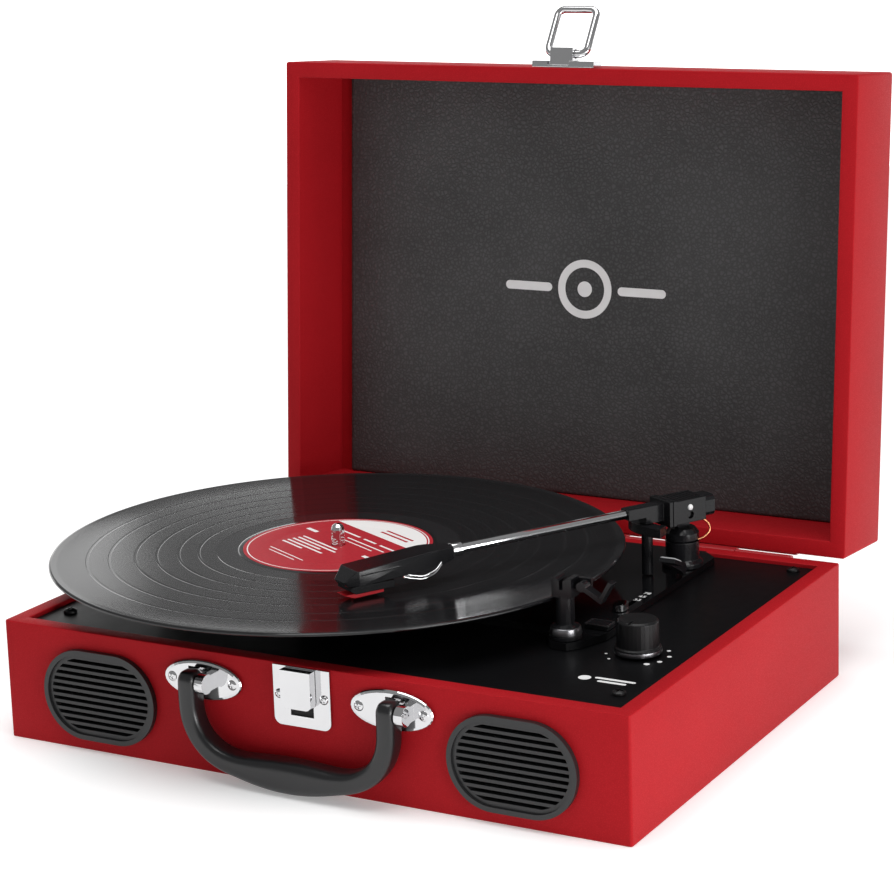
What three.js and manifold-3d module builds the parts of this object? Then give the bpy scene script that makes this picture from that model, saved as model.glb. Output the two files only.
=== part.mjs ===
// Suitcase record player, lid open and a record on the platter.
// Millimetres. +X right, +Y back, +Z up. The origin is the centre of the case's underside.
import * as THREE from "three";
import { mergeVertices } from "three/addons/utils/BufferGeometryUtils.js";
import Module from "manifold-3d";

const wasm = await Module();
wasm.setup();

// Driving sizes
const GAP = 0.3;
const CASE = { w: 353, d: 261, h: 62.7, wall: 9, corner: 5, floor: 4 };
const LID = { rim: 63.3, depth: 52, board: 4, liner: 3, open: 94.3, setback: 3.5 };
const HINGE = { y: 133.9, z: 59.5, r: 3.1, half: 148, pieces: 9 };
const DECK = { top: 60.7, thick: 2.5 };
const PLATE = { bottom: 61, top: 64.7 };
const DISC = { x: -49.3, y: -9.7, r: 150.8, top: 84.7 };
const PLATTER = { r: 98, ring: 65 };
const PULLEY = { away: 82, turn: 215, r: 6 };
const ARM = { x: 104.3, y: 88, z: 99, turn: 241.29, lift: 94, reach: 201.9 };
const REST = { x: 102.5, y: -46.5 };
const CLIP = { x: 112.5, z: 92, open: 120 };
const CUE = { x: 112.5, y: 68, z: 69.5 };
const KNOB = { x: 140.5, y: -45 };
const GRILLE = { x: 117, z: 30, w: 67.8, h: 47, slats: 11, pitch: 3.5, slot: 1.9 };
const BRACKET = { x: 53.5, z: 48, w: 45, h: 20 };
const HANDLE = { x: 56, y: -139.3, z: 49 };
const LATCH = { x: 3.5, w: 32, low: 32, high: 62 };
const HASP = { x: 3, y: -134.5, z: 71, half: 12, long: 28, rod: 2.1, rest: 120.3 };

const front = -CASE.d / 2;
const back = CASE.d / 2;
const side = CASE.w / 2;
const innerX = side - CASE.wall - GAP;
const innerY = back - CASE.wall - GAP;

// A solid from a geometry, facing outwards
function solid(geometry) {
  const bare = geometry.index ? geometry.toNonIndexed() : geometry.clone();
  bare.deleteAttribute("normal");
  bare.deleteAttribute("uv");
  const merged = mergeVertices(bare, 1e-3);
  const vertProperties = merged.attributes.position.array;
  const triVerts = new Uint32Array(merged.index.array);
  const made = new wasm.Manifold(new wasm.Mesh({ numProp: 3, vertProperties, triVerts }));
  if (made.volume() > 0) {
    return made;
  }
  for (let i = 0; i < triVerts.length; i += 3) {
    [triVerts[i + 1], triVerts[i + 2]] = [triVerts[i + 2], triVerts[i + 1]];
  }
  return new wasm.Manifold(new wasm.Mesh({ numProp: 3, vertProperties, triVerts }));
}

function geometryOf(body) {
  const mesh = body.getMesh();
  const count = mesh.numVert;
  const points = new Float32Array(count * 3);
  for (let i = 0; i < count; i++) {
    points.set(mesh.vertProperties.subarray(i * mesh.numProp, i * mesh.numProp + 3), i * 3);
  }
  const geometry = new THREE.BufferGeometry();
  geometry.setAttribute("position", new THREE.BufferAttribute(points, 3));
  geometry.setIndex(new THREE.BufferAttribute(new Uint32Array(mesh.triVerts), 1));
  return geometry;
}

// The body with every point put through a matrix
function moved(body, matrix) {
  return solid(geometryOf(body).applyMatrix4(matrix));
}

function joined(bodies) {
  return bodies.reduce((whole, body) => whole.add(body));
}

function box(x0, x1, y0, y1, z0, z1) {
  const geometry = new THREE.BoxGeometry(x1 - x0, y1 - y0, z1 - z0);
  return solid(geometry.translate((x0 + x1) / 2, (y0 + y1) / 2, (z0 + z1) / 2));
}

// Outlines
function roundedRect(cx, cy, w, h, r) {
  const shape = new THREE.Shape();
  const turns = [
    [cx + w / 2 - r, cy - h / 2 + r, -90],
    [cx + w / 2 - r, cy + h / 2 - r, 0],
    [cx - w / 2 + r, cy + h / 2 - r, 90],
    [cx - w / 2 + r, cy - h / 2 + r, 180],
  ];
  for (const [x, y, from] of turns) {
    const a = THREE.MathUtils.degToRad(from);
    shape.absarc(x, y, r, a, a + Math.PI / 2, false);
  }
  shape.closePath();
  return shape;
}

function ellipse(cx, cy, w, h) {
  const shape = new THREE.Shape();
  shape.absellipse(cx, cy, w / 2, h / 2, 0, Math.PI * 2, false, 0);
  return shape;
}

function polygon(points) {
  return new THREE.Shape(points.map(([x, y]) => new THREE.Vector2(x, y)));
}

// Slabs: an outline in XY, XZ or YZ, pushed along the third axis
function extruded(shape, depth, curveSegments) {
  return new THREE.ExtrudeGeometry(shape, { depth, bevelEnabled: false, curveSegments });
}

function slabZ(shape, z0, z1, curveSegments = 6) {
  return solid(extruded(shape, z1 - z0, curveSegments).translate(0, 0, z0));
}

function slabY(shape, y0, y1, curveSegments = 6) {
  const geometry = extruded(shape, y1 - y0, curveSegments).rotateX(Math.PI / 2);
  return solid(geometry.translate(0, y1, 0));
}

function slabX(shape, x0, x1, curveSegments = 6) {
  const turn = new THREE.Matrix4().makeBasis(
    new THREE.Vector3(0, 1, 0),
    new THREE.Vector3(0, 0, 1),
    new THREE.Vector3(1, 0, 0),
  );
  const geometry = extruded(shape, x1 - x0, curveSegments).applyMatrix4(turn);
  return solid(geometry.translate(x0, 0, 0));
}

function rod(from, to, r, sides = 16, rEnd = r) {
  const a = new THREE.Vector3(...from);
  const b = new THREE.Vector3(...to);
  const along = b.clone().sub(a);
  const geometry = new THREE.CylinderGeometry(rEnd, r, along.length(), sides);
  const turn = new THREE.Quaternion();
  turn.setFromUnitVectors(new THREE.Vector3(0, 1, 0), along.clone().normalize());
  geometry.applyQuaternion(turn);
  const middle = a.add(b).multiplyScalar(0.5);
  return solid(geometry.translate(middle.x, middle.y, middle.z));
}

function turned(x, y, profile, sides = 32) {
  const points = profile.map(([r, z]) => new THREE.Vector2(r, z));
  if (profile[0][0] > 0) {
    points.push(points[0].clone());
  }
  const geometry = new THREE.LatheGeometry(points, sides).rotateX(Math.PI / 2);
  return solid(geometry.translate(x, y, 0));
}

// A sweep in the XZ plane through stations [x, z, half width, half depth]
function swept(y, stations, around = 16) {
  const positions = [];
  const faces = [];
  const last = stations.length - 1;
  stations.forEach(([x, z, half, deep], i) => {
    const before = stations[Math.max(i - 1, 0)];
    const after = stations[Math.min(i + 1, last)];
    const tangent = new THREE.Vector2(after[0] - before[0], after[1] - before[1]).normalize();
    for (let k = 0; k < around; k++) {
      const a = (k / around) * Math.PI * 2;
      const across = Math.sign(Math.cos(a)) * Math.abs(Math.cos(a)) ** 0.65 * half;
      const outward = Math.sign(Math.sin(a)) * Math.abs(Math.sin(a)) ** 0.65 * deep;
      positions.push(x - tangent.y * across, y + outward, z + tangent.x * across);
    }
  });
  const ends = [positions.length / 3, positions.length / 3 + 1];
  positions.push(stations[0][0], y, stations[0][1], stations[last][0], y, stations[last][1]);
  for (let k = 0; k < around; k++) {
    const next = (k + 1) % around;
    for (let i = 0; i < last; i++) {
      const a = i * around + k;
      const b = i * around + next;
      faces.push(a, b, a + around, b, b + around, a + around);
    }
    faces.push(ends[0], next, k, ends[1], last * around + k, last * around + next);
  }
  const geometry = new THREE.BufferGeometry();
  geometry.setAttribute("position", new THREE.Float32BufferAttribute(positions, 3));
  geometry.setIndex(faces);
  return solid(geometry);
}

// Placing
function aboutX(y, z, degrees) {
  const turn = new THREE.Matrix4().makeRotationX(THREE.MathUtils.degToRad(degrees));
  const away = new THREE.Matrix4().makeTranslation(0, -y, -z);
  return new THREE.Matrix4().makeTranslation(0, y, z).multiply(turn).multiply(away);
}

function aboutY(x, z, degrees) {
  const turn = new THREE.Matrix4().makeRotationY(THREE.MathUtils.degToRad(degrees));
  const away = new THREE.Matrix4().makeTranslation(-x, 0, -z);
  return new THREE.Matrix4().makeTranslation(x, 0, z).multiply(turn).multiply(away);
}

const opened = aboutX(HINGE.y, HINGE.z, -LID.open);
const alongArm = new THREE.Matrix4()
  .makeTranslation(ARM.x, ARM.y, 0)
  .multiply(new THREE.Matrix4().makeRotationZ(THREE.MathUtils.degToRad(ARM.turn)));

const part = new THREE.Group();

function add(name, body, color, matrix) {
  const placed = matrix ? moved(body, matrix) : body;
  const material = new THREE.MeshStandardMaterial({ color, roughness: 0.6 });
  const mesh = new THREE.Mesh(geometryOf(placed), material);
  mesh.geometry.computeVertexNormals();
  mesh.name = name;
  part.add(mesh);
}

const RED = 0xa81f22;
const BLACK = 0x18181a;
const GREY = 0x3b3c40;
const CHROME = 0xc9cccf;

// One long wall with rounded outer corners, standing from z0 to z1 at the front or the back
function longWall(atBack, z0, z1, setback = 0) {
  const middle = setback / 2;
  const outline = slabZ(
    roundedRect(0, middle, CASE.w, CASE.d - setback, CASE.corner),
    z0,
    z1,
  );
  const inner = back - CASE.wall;
  const cut = atBack
    ? box(-side - 1, side + 1, -back - 1, inner, z0 - 1, z1 + 1)
    : box(-side - 1, side + 1, setback - inner, back + 1, z0 - 1, z1 + 1);
  return outline.subtract(cut);
}

// Case
const grilleHole = (x, w, h) => slabY(roundedRect(x, GRILLE.z, w, h, h / 2), front - 9, front + 12);
const jackX = -105;
const jackZ = 30;
const frontWall = [-1, 1].reduce(
  (wall, s) => wall.subtract(grilleHole(s * GRILLE.x, 63, 41)),
  longWall(false, 0, CASE.h),
);
add("front_panel", frontWall, RED);
const jackHole = box(jackX - 30, jackX + 30, back - 12, back + 2, jackZ - 9, jackZ + 9);
add("back_panel", longWall(true, 0, CASE.h).subtract(jackHole), RED);
add("left_panel", box(-side, -side + CASE.wall, -innerY, innerY, 0, CASE.h), RED);
add("right_panel", box(side - CASE.wall, side, -innerY, innerY, 0, CASE.h), RED);
const corners = [
  [-1, -1],
  [1, -1],
  [-1, 1],
  [1, 1],
];
const pockets = corners.map(([sx, sy]) =>
  rod([sx * 150, sy * 105, -1], [sx * 150, sy * 105, 2.3], 8.3, 32),
);
const bottom = box(-innerX, innerX, -innerY, innerY, 0, CASE.floor);
add("bottom_panel", bottom.subtract(joined(pockets)), BLACK);
corners.forEach(([sx, sy], i) => {
  const pad = rod([sx * 150, sy * 105, 0], [sx * 150, sy * 105, 2], 8, 32);
  add(`foot_${i + 1}`, pad, BLACK);
});

// Speaker grilles and the speakers behind them
for (const [name, s] of [
  ["left", -1],
  ["right", 1],
]) {
  const x = s * GRILLE.x;
  const outline = (grow) =>
    roundedRect(x, GRILLE.z, GRILLE.w + grow, GRILLE.h + grow, (GRILLE.h + grow) / 2);
  const slab = slabY(outline(0), front - 2, front - GAP, 8);
  const rim = slabY(outline(0), front - 3.4, front - 1.9, 8);
  const well = slabY(outline(-5), front - 4, front - 1.8, 8);
  const plug = slabY(outline(-8), front - 1, front + 6, 8);
  const window = slabY(outline(-9), front - 4, front + 7, 8);
  const slots = [];
  for (let i = 0; i < GRILLE.slats; i++) {
    const z = GRILLE.z + (i - (GRILLE.slats - 1) / 2) * GRILLE.pitch;
    slots.push(box(x - 40, x + 40, front - 5, front + 7, z - GRILLE.slot / 2, z + GRILLE.slot / 2));
  }
  const grille = joined([slab, rim.subtract(well), plug]).subtract(window.intersect(joined(slots)));
  add(`speaker_grille_${name}`, grille, GREY);

  const cone = [
    [0, 2],
    [20, 2],
    [20, 4.5],
    [13, 16],
    [15, 16],
    [15, 25],
    [0, 25],
  ];
  const basket = moved(
    turned(0, 0, cone, 24),
    new THREE.Matrix4()
      .makeTranslation(x, -innerY, GRILLE.z)
      .multiply(new THREE.Matrix4().makeRotationX(-Math.PI / 2)),
  );
  const flange = slabY(roundedRect(x, GRILLE.z, 68, 45, 22.5), -innerY, -innerY + 3);
  add(`speaker_${name}`, basket.add(flange), BLACK);
}

// Electronics inside the case
const board = [box(50, 130, 20, 90, 9, 10.6)];
for (const [x, y] of [
  [54, 24],
  [126, 24],
  [54, 86],
  [126, 86],
]) {
  board.push(rod([x, y, CASE.floor + GAP], [x, y, 9.5], 3, 12));
}
board.push(box(60, 84, 40, 46, 10, 26));
board.push(rod([100, 50, 10], [100, 50, 24], 5, 12));
board.push(rod([114, 50, 10], [114, 50, 24], 5, 12));
add("circuit_board", joined(board), 0x1f5a33);

const plateY = back + GAP;
const jack = [
  box(jackX - 36, jackX + 36, plateY, plateY + 1.5, jackZ - 13, jackZ + 13),
  box(jackX - 29, jackX + 29, back - 11, plateY + 1, jackZ - 8, jackZ + 8),
];
for (const x of [jackX - 20, jackX]) {
  jack.push(rod([x, plateY + 1, jackZ], [x, plateY + 9, jackZ], 4.2, 20));
}
const jackBores = [
  rod([jackX - 20, plateY + 2, jackZ], [jackX - 20, plateY + 10, jackZ], 1.6, 12),
  rod([jackX, plateY + 2, jackZ], [jackX, plateY + 10, jackZ], 1.6, 12),
  rod([jackX + 20, plateY - 8, jackZ], [jackX + 20, plateY + 3, jackZ], 3.4, 20),
];
add("rear_jack_plate", joined(jack).subtract(joined(jackBores)), BLACK);

// Deck
const pulleyTurn = THREE.MathUtils.degToRad(PULLEY.turn);
const pulleyX = DISC.x + PULLEY.away * Math.cos(pulleyTurn);
const pulleyY = DISC.y + PULLEY.away * Math.sin(pulleyTurn);
const stopX = 111;
const stopY = -26;
const deckHoles = [
  rod([DISC.x, DISC.y, 50], [DISC.x, DISC.y, 70], 6.4, 24),
  rod([pulleyX, pulleyY, 50], [pulleyX, pulleyY, 70], 3, 16),
  rod([KNOB.x, KNOB.y, 50], [KNOB.x, KNOB.y, 70], 3.4, 20),
  box(stopX - 1.4, stopX + 1.4, stopY - 1.4, stopY + 7.4, 50, 70),
];
const deck = box(-innerX, innerX, -innerY, innerY, DECK.top - DECK.thick, DECK.top);
add("deck_plate", deck.subtract(joined(deckHoles)), BLACK);

const screwHead = [
  [0, DECK.top + 0.25],
  [3.6, DECK.top + 0.25],
  [3.4, DECK.top + 1.3],
  [2, DECK.top + 2.1],
  [0, DECK.top + 2.3],
];
corners.forEach(([sx, sy], i) => {
  const x = sx * 157;
  const y = sy < 0 ? -101 : 113;
  const cross = joined([
    box(x - 2.2, x + 2.2, y - 0.4, y + 0.4, DECK.top + 1.2, DECK.top + 4),
    box(x - 0.4, x + 0.4, y - 2.2, y + 2.2, DECK.top + 1.2, DECK.top + 4),
  ]);
  add(`deck_screw_${i + 1}`, turned(x, y, screwHead, 20).subtract(cross), CHROME);
});

const plateOutline = polygon([
  [-62, -34.5],
  [92, -34.5],
  [92, -47.5],
  [98, -55.5],
  [107, -55.5],
  [113, -47.5],
  [118, -33],
  [118, -19],
  [110.5, -11],
  [110.5, -4],
  [114, 0],
  [114, 108],
  [105, 117],
  [-62, 117],
]);
const plateHoles = [
  rod([DISC.x, DISC.y, 58], [DISC.x, DISC.y, 70], 6.4, 24),
  box(106.6, 109.4, 1, 21, 58, 70),
  box(stopX - 1.4, stopX + 1.4, stopY - 1.4, stopY + 7.4, 58, 70),
];
const cueEar = slabX(roundedRect(CUE.y, 68.5, 8, 10, 2), CUE.x - 4, CUE.x - 1.2);
const cueHole = rod([CUE.x - 6, CUE.y, CUE.z], [CUE.x, CUE.y, CUE.z], 1.8, 12);
const mechanism = slabZ(plateOutline, PLATE.bottom, PLATE.top)
  .subtract(joined(plateHoles))
  .add(cueEar)
  .subtract(cueHole);
add("mechanism_plate", mechanism, BLACK);

// Drive
const motor = turned(pulleyX, pulleyY, [
  [0, 40],
  [1.8, 40],
  [1.8, 57.9],
  [17, 57.9],
  [17, 54],
  [15, 54],
  [15, 30],
  [0, 30],
], 24);
add("motor", motor, GREY);
const pulley = turned(pulleyX, pulleyY, [
  [0, 43],
  [1.4, 43],
  [1.4, 69.6],
  [6.9, 69.6],
  [6.9, 70.3],
  [PULLEY.r, 70.4],
  [PULLEY.r, 75.6],
  [6.9, 75.7],
  [6.9, 76.4],
  [0, 76.4],
], 24);
add("motor_pulley", pulley, 0xb08d4a);

// The outline round two circles, as a belt runs
function beltOutline(grow) {
  const near = PLATTER.ring + grow;
  const far = PULLEY.r + grow;
  const spread = Math.acos((near - far) / PULLEY.away);
  const points = [];
  const arc = (cx, cy, r, from, to, steps) => {
    for (let i = 0; i <= steps; i++) {
      const a = from + ((to - from) * i) / steps;
      points.push([cx + r * Math.cos(a), cy + r * Math.sin(a)]);
    }
  };
  arc(DISC.x, DISC.y, near, pulleyTurn + spread, pulleyTurn - spread + Math.PI * 2, 48);
  arc(pulleyX, pulleyY, far, pulleyTurn - spread, pulleyTurn + spread, 10);
  return polygon(points);
}
const belt = slabZ(beltOutline(1.2), 71, 75).subtract(slabZ(beltOutline(0.4), 70, 76));
add("drive_belt", belt, BLACK);

const platter = turned(DISC.x, DISC.y, [
  [3.8, 68],
  [PLATTER.ring, 68],
  [PLATTER.ring, 78],
  [94.5, 78],
  [94.5, 68.5],
  [PLATTER.r, 68.5],
  [PLATTER.r, 80.4],
  [97.2, 81.2],
  [3.8, 81.2],
], 56);
add("platter", platter, 0x2a2a2d);
const mat = turned(DISC.x, DISC.y, [
  [3.8, 81.5],
  [96, 81.5],
  [96, 82.8],
  [3.8, 82.8],
], 48);
add("slip_mat", mat, BLACK);
const vinyl = turned(DISC.x, DISC.y, [
  [3.65, 83.1],
  [DISC.r - 0.6, 83.1],
  [DISC.r, 83.6],
  [DISC.r, 84.4],
  [DISC.r - 1, 84.85],
  [DISC.r - 3, DISC.top],
  [52, DISC.top],
  [50, DISC.top + 0.2],
  [3.65, DISC.top + 0.2],
], 80);
add("record", vinyl, 0x101012);
const spindle = turned(DISC.x, DISC.y, [
  [0, 48],
  [6, 48],
  [6, 67],
  [3.5, 67.6],
  [3.5, 93.2],
  [3, 95],
  [1.8, 96.2],
  [0, 96.6],
], 24);
add("spindle", spindle, CHROME);

// Tonearm: x runs from the pivot to the stylus in the arm's own frame
const base = turned(ARM.x, ARM.y, [
  [4.4, 65],
  [11, 65],
  [11, 67.5],
  [9, 69],
  [9, 79],
  [4.4, 79],
], 32);
add("tonearm_base", base, BLACK);

const turretStem = turned(0, 0, [
  [0, 66],
  [4, 66],
  [4, 79.3],
  [8.4, 79.3],
  [9, 80],
  [9, 83.5],
  [7, 86],
  [0, 86],
], 32);
const tongue = slabY(roundedRect(0, 91.5, 8, 13.5, 3), -1.5, 1.5);
const liftPin = rod([0, -6.5, ARM.lift], [0, 6.5, ARM.lift], 1.5, 14);
add("tonearm_turret", joined([turretStem, tongue, liftPin]), BLACK, alongArm);

const ribs = [];
for (let s = -7.5; s <= 7.5; s += 2.5) {
  ribs.push(box(s - 0.7, s + 0.7, -7, 7, 102, 104));
}
const armBlock = joined([
  box(-10, 10.5, -8, 8, 90, 102.8),
  box(10, 12, -9, 9, 89.6, 103.4),
  box(11, 12.8, -7.6, 7.6, 90.4, 102.6),
  box(12.5, 14.5, -9, 9, 89.6, 103.4),
  box(14, 37, -3.6, 3.6, 96, 101.8),
  box(14, 26, -3.6, 3.6, 92.4, 97),
]).subtract(
  joined([
    box(-6.5, 6.5, -1.9, 1.9, 89, 99.6),
    rod([0, -8, ARM.lift], [0, 8, ARM.lift], 1.8, 14),
    ...ribs,
  ]),
);
add("tonearm_block", armBlock, GREY, alongArm);

const tube = joined([
  rod([37.3, 0, ARM.z], [144.5, 0, ARM.z], 2.5, 20),
  rod([138.5, 0, ARM.z], [144.5, 0, ARM.z], 3.6, 20),
]);
add("tonearm_tube", tube, CHROME, alongArm);

const shellSide = slabY(
  polygon([
    [144.8, 95.6],
    [158, 93.8],
    [207, 92.6],
    [208.5, 95],
    [203, 100.4],
    [160, 102.8],
    [144.8, 102],
  ]),
  -12,
  12,
);
const shellTop = slabZ(
  polygon([
    [144.8, -4],
    [156, -7.4],
    [202, -8.6],
    [208.5, -5],
    [208.5, 5],
    [202, 8.6],
    [156, 7.4],
    [144.8, 4],
  ]),
  85,
  110,
);
add("headshell", shellSide.intersect(shellTop), BLACK, alongArm);
const cartridge = slabY(
  polygon([
    [181, 88.5],
    [203, 88.5],
    [206, 90.5],
    [206, 92.2],
    [181, 92.2],
  ]),
  -6.5,
  6.5,
);
add("cartridge", cartridge, GREY, alongArm);
const stylus = joined([
  slabY(
    polygon([
      [186, 88.2],
      [186, 86.4],
      [202.5, 86],
      [208, 88.2],
    ]),
    -4,
    4,
  ),
  rod([ARM.reach, 0, DISC.top + GAP], [ARM.reach, 0, 87], 0.2, 8, 0.7),
]);
add("stylus", stylus, 0xb01c1c, alongArm);
const weight = slabX(roundedRect(0, 96.4, 13, 11.5, 3), -17, -10.3);
add("counterweight", weight, BLACK, alongArm);

// Arm rest with its clip
const restHead = joined([
  box(REST.x - 5, REST.x + 5.6, REST.y - 4.5, REST.y + 4.5, 86, 95.8),
  box(REST.x + 4, REST.x + 12.6, REST.y + 3.2, REST.y + 5.5, 89, 95),
]);
const restCuts = joined([
  rod([REST.x, REST.y - 9, 98], [REST.x, REST.y + 9, 98], 3.6, 20),
  rod([CLIP.x, REST.y - 9, CLIP.z], [CLIP.x, REST.y + 9, CLIP.z], 1.5, 12),
  box(REST.x - 1, REST.x + 1, REST.y - 9, REST.y + 9, 90, 99),
]);
const restPost = turned(REST.x, REST.y, [
  [0, 65],
  [8, 65],
  [8, 66.5],
  [7, 68],
  [7, 71],
  [4.8, 72],
  [4.6, 87],
  [0, 87],
], 24);
add("arm_rest", restPost.add(restHead).subtract(restCuts), BLACK);
const clip = joined([
  rod([CLIP.x, REST.y - 3, CLIP.z], [CLIP.x, REST.y + 2.8, CLIP.z], 2.6, 16),
  rod([CLIP.x, REST.y, CLIP.z], [CLIP.x, REST.y + 5.4, CLIP.z], 1.2, 12),
  box(CLIP.x - 1.2, CLIP.x + 1.2, REST.y - 3, REST.y + 2.8, CLIP.z, 104.8),
  box(REST.x - 1, CLIP.x + 1.2, REST.y - 3, REST.y + 2.8, 102.6, 104.8),
]);
add("arm_rest_clip", clip, GREY, aboutY(CLIP.x, CLIP.z, CLIP.open));

// Cueing
const lever = slabX(
  polygon([
    [CUE.y + 3, CUE.z],
    [CUE.y + 1.5, CUE.z + 2.8],
    [CUE.y - 21, CUE.z + 11.5],
    [CUE.y - 22, CUE.z + 8.8],
    [CUE.y - 3, CUE.z - 1],
    [CUE.y - 1, CUE.z - 3],
    [CUE.y + 1.5, CUE.z - 3],
  ]),
  CUE.x - 0.9,
  CUE.x + 2,
);
const leverPad = moved(
  box(CUE.x - 0.5, CUE.x + 8.5, CUE.y - 29, CUE.y - 19, CUE.z - 1, CUE.z + 1.2),
  aboutX(CUE.y, CUE.z, -24),
);
const leverPin = rod([CUE.x - 3.8, CUE.y, CUE.z], [CUE.x, CUE.y, CUE.z], 1.5, 12);
add("cue_lever", joined([lever, leverPad, leverPin]), CHROME);

const arcPoints = (r, from, to) => {
  const points = [];
  for (let i = 0; i <= 10; i++) {
    const a = THREE.MathUtils.degToRad(from + ((to - from) * i) / 10);
    points.push([r * Math.cos(a), r * Math.sin(a)]);
  }
  return points;
};
const cueBar = slabZ(polygon([...arcPoints(29, -24, 30), ...arcPoints(21, 30, -24)]), 87, 92);
const cuePost = rod([25, 2.8, 65.4], [25, 2.8, 88], 3, 16);
add("cue_platform", cueBar.add(cuePost), BLACK, alongArm);

// Controls on the deck
const selector = slabZ(roundedRect(108, 4, 7, 10, 3.4), 65.2, 68.4).add(box(107, 109, 3, 5, 61.4, 66));
add("speed_selector", selector, GREY);
const stopTab = slabZ(roundedRect(stopX, stopY, 13, 9, 1.5), 65, 67.2);
const stopStem = box(stopX - 1, stopX + 1, stopY - 1, stopY + 1, 57, 66);
add("auto_stop_switch", stopTab.add(stopStem), BLACK);
const pot = joined([
  box(KNOB.x - 8, KNOB.x + 8, KNOB.y - 8, KNOB.y + 8, 48.5, 57.9),
  rod([KNOB.x, KNOB.y, 57], [KNOB.x, KNOB.y, 73], 3, 20),
]);
add("volume_pot", pot, GREY);
const knob = turned(KNOB.x, KNOB.y, [
  [0, 74],
  [3.3, 74],
  [3.3, 61.4],
  [10.8, 61.4],
  [11.5, 62],
  [11.5, 65],
  [10.5, 65.6],
  [10.2, 77.8],
  [9.2, 78.8],
  [0, 78.8],
], 32);
const knobMark = box(KNOB.x - 0.5, KNOB.x + 0.5, KNOB.y - 12, KNOB.y - 5, 78.2, 80);
add("volume_knob", knob.subtract(knobMark), GREY);

// Handle on its two oval brackets
for (const [name, s] of [
  ["left", -1],
  ["right", 1],
]) {
  const x = s * BRACKET.x;
  const arm = s * HANDLE.x;
  const oval = new THREE.ExtrudeGeometry(ellipse(x, BRACKET.z, BRACKET.w - 3, BRACKET.h - 3), {
    depth: 0.5,
    bevelThickness: 0.8,
    bevelSize: 1.5,
    bevelSegments: 2,
    curveSegments: 18,
  });
  const plate = solid(oval.rotateX(Math.PI / 2).translate(0, front - GAP - 0.8, 0));
  const recess = rod([arm - 5.4, HANDLE.y, HANDLE.z], [arm + 5.4, HANDLE.y, HANDLE.z], 8.6, 24);
  const boss = rod([arm + 5.4, HANDLE.y, HANDLE.z], [arm + 10, HANDLE.y, HANDLE.z], 5, 20);
  const pin = rod([arm - 4.6, HANDLE.y, HANDLE.z], [arm + 7, HANDLE.y, HANDLE.z], 2.2, 14);
  const foot = box(arm + 5.4, arm + 10, HANDLE.y, front - 1, HANDLE.z - 4, HANDLE.z + 4);
  add(`handle_bracket_${name}`, joined([plate.subtract(recess), boss, foot, pin]), CHROME);
}
const half = [
  [-HANDLE.x, HANDLE.z, 5, 6],
  [-HANDLE.x, 42, 5, 6],
  [-55.5, 34, 5, 6],
  [-53.4, 27, 5, 6],
  [-49.6, 21, 5, 6.1],
  [-43.8, 16, 5.2, 6.3],
  [-36.5, 12.6, 5.4, 6.5],
  [-28, 10.9, 5.9, 6.7],
  [-18, 10, 7.2, 7],
  [-8, 9.6, 8.2, 7],
];
const mirrored = half.map(([x, z, w, d]) => [-x, z, w, d]).reverse();
const eyes = [-1, 1].map((s) =>
  rod([s * HANDLE.x - 5, HANDLE.y, HANDLE.z], [s * HANDLE.x + 5, HANDLE.y, HANDLE.z], 6, 24),
);
const eyeBores = [-1, 1].map((s) =>
  rod([s * HANDLE.x - 6, HANDLE.y, HANDLE.z], [s * HANDLE.x + 6, HANDLE.y, HANDLE.z], 2.5, 14),
);
const grip = swept(HANDLE.y, [...half, [0, 9.5, 8.4, 7], ...mirrored]);
add("handle", joined([grip, ...eyes]).subtract(joined(eyeBores)), BLACK);

// Latch
const latchMid = (LATCH.low + LATCH.high) / 2;
const latchOutline = roundedRect(LATCH.x, latchMid, LATCH.w, LATCH.high - LATCH.low, 4);
const latchTop = box(
  LATCH.x - LATCH.w / 2,
  LATCH.x + LATCH.w / 2,
  front - 1.5,
  front - GAP,
  latchMid,
  LATCH.high,
);
const latchSlot = box(LATCH.x - 6.5, LATCH.x + 6.5, front - 3, front, 37.5, 43);
const latchPlate = slabY(latchOutline, front - 1.5, front - GAP).add(latchTop).subtract(latchSlot);
add("latch_plate", latchPlate, CHROME);
const slideX = LATCH.x - 0.5;
const slide = slabY(roundedRect(slideX, 52, 17, 19, 3), front - 6.5, front - 1.8).add(
  box(slideX - 8.5, slideX + 8.5, front - 6.5, front - 1.8, 52, 61.5),
);
add("latch_slide", slide, CHROME);

// Lid, laid out closed and then opened about the hinge
const lidTop = LID.rim + LID.depth;
const wallTop = lidTop - LID.board - GAP;
const lidMiddle = LID.setback / 2;
add("lid_front_panel", longWall(false, LID.rim, wallTop, LID.setback), RED, opened);
add("lid_back_panel", longWall(true, LID.rim, wallTop, LID.setback), RED, opened);
const lidSide = (s) => {
  const [x0, x1] = s < 0 ? [-side, -side + CASE.wall] : [side - CASE.wall, side];
  return box(x0, x1, LID.setback - innerY, innerY, LID.rim, wallTop);
};
add("lid_left_panel", lidSide(-1), RED, opened);
add("lid_right_panel", lidSide(1), RED, opened);
const lidBoard = slabZ(
  roundedRect(0, lidMiddle, CASE.w, CASE.d - LID.setback, CASE.corner),
  lidTop - LID.board,
  lidTop,
);
add("lid_board", lidBoard, RED, opened);
const liner = slabZ(
  roundedRect(0, lidMiddle, innerX * 2 - 16, innerY * 2 - LID.setback, 2),
  wallTop - LID.liner,
  wallTop,
);
add("lid_liner", liner, BLACK, opened);

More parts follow.
